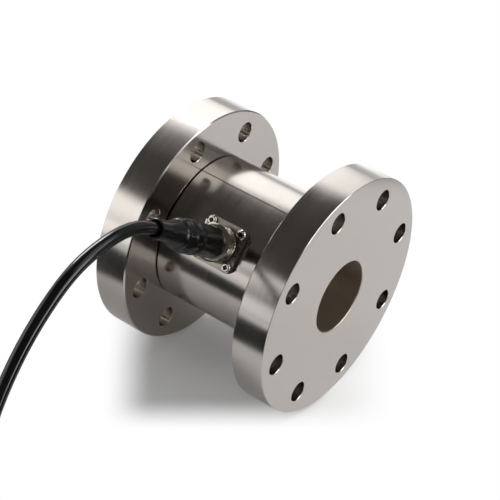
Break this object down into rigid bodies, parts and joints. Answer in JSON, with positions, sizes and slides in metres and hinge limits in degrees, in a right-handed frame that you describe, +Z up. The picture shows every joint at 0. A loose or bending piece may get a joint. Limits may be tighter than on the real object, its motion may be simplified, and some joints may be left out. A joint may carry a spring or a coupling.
{
  "type": "static torque sensor",
  "caption": "Hollow flanged static torque sensor: bolt flanges on a gauge section under a split sleeve, with a bayonet plug and its signal cable.",
  "frame": {"origin": "on the floor under the middle of the body, which lies on the rims of its flanges", "axes": "+X along the sensor's axis towards the front flange, +Z up, the cable leaves towards -Y"},
  "size_m": [0.085, 0.3426, 0.1275],
  "materials": {
    "body_steel": "fine turned stainless steel, satin",
    "sleeve_steel": "turned and polished stainless steel",
    "screw_steel": "bright machined steel",
    "nickel_plate": "satin nickel plate",
    "knurled_nickel": "nickel plate over fine knurling",
    "seal_rubber": "matt black",
    "gauge_film": "amber film",
    "board_laminate": "glass laminate",
    "inner_wire": "thin insulated wire",
    "insert_black": "moulded",
    "contact_gold": "gold plated",
    "boot_black": "satin black shrink moulding",
    "cable_black": "semi-gloss black jacket",
    "tie_black": "moulded",
    "core_red": "smooth",
    "core_black": "smooth",
    "core_green": "smooth",
    "core_white": "smooth"
  },
  "bodies": {
    "sensor": {"torsion_body": "body_steel", "sleeve_socket_half": "sleeve_steel", "sleeve_plain_half": "sleeve_steel", "sleeve_screws": "screw_steel", "front_sealing_ring": "seal_rubber", "rear_sealing_ring": "seal_rubber", "strain_gauges": "gauge_film", "terminal_board": "board_laminate", "gauge_wires": "inner_wire", "receptacle_gasket": "seal_rubber", "receptacle_shell": "nickel_plate", "receptacle_insert": "insert_black", "receptacle_pins": "contact_gold", "receptacle_wires": "inner_wire", "receptacle_screws": "nickel_plate", "plug_shell": "nickel_plate", "plug_snap_ring": "screw_steel", "plug_insert": "insert_black", "plug_sockets": "contact_gold", "plug_wires": "inner_wire", "plug_seal": "seal_rubber", "plug_backshell": "nickel_plate", "cable_grip": "insert_black", "plug_boot": "boot_black", "cable_run": "cable_black", "cable_coil": "cable_black", "coil_tie": "tie_black", "end_sleeve": "boot_black", "core_red": "core_red", "core_black": "core_black", "core_green": "core_green", "core_white": "core_white"},
    "coupling_ring": {"coupling_ring": "knurled_nickel"}
  },
  "joints": [
    {"name": "coupling_ring_turn", "type": "hinge", "parent": "sensor", "child": "coupling_ring", "pos_m": [0, -0.02735, 0.07845], "axis": [0, -0.7254, 0.6884], "range_deg": [0, 90]}
  ]
}
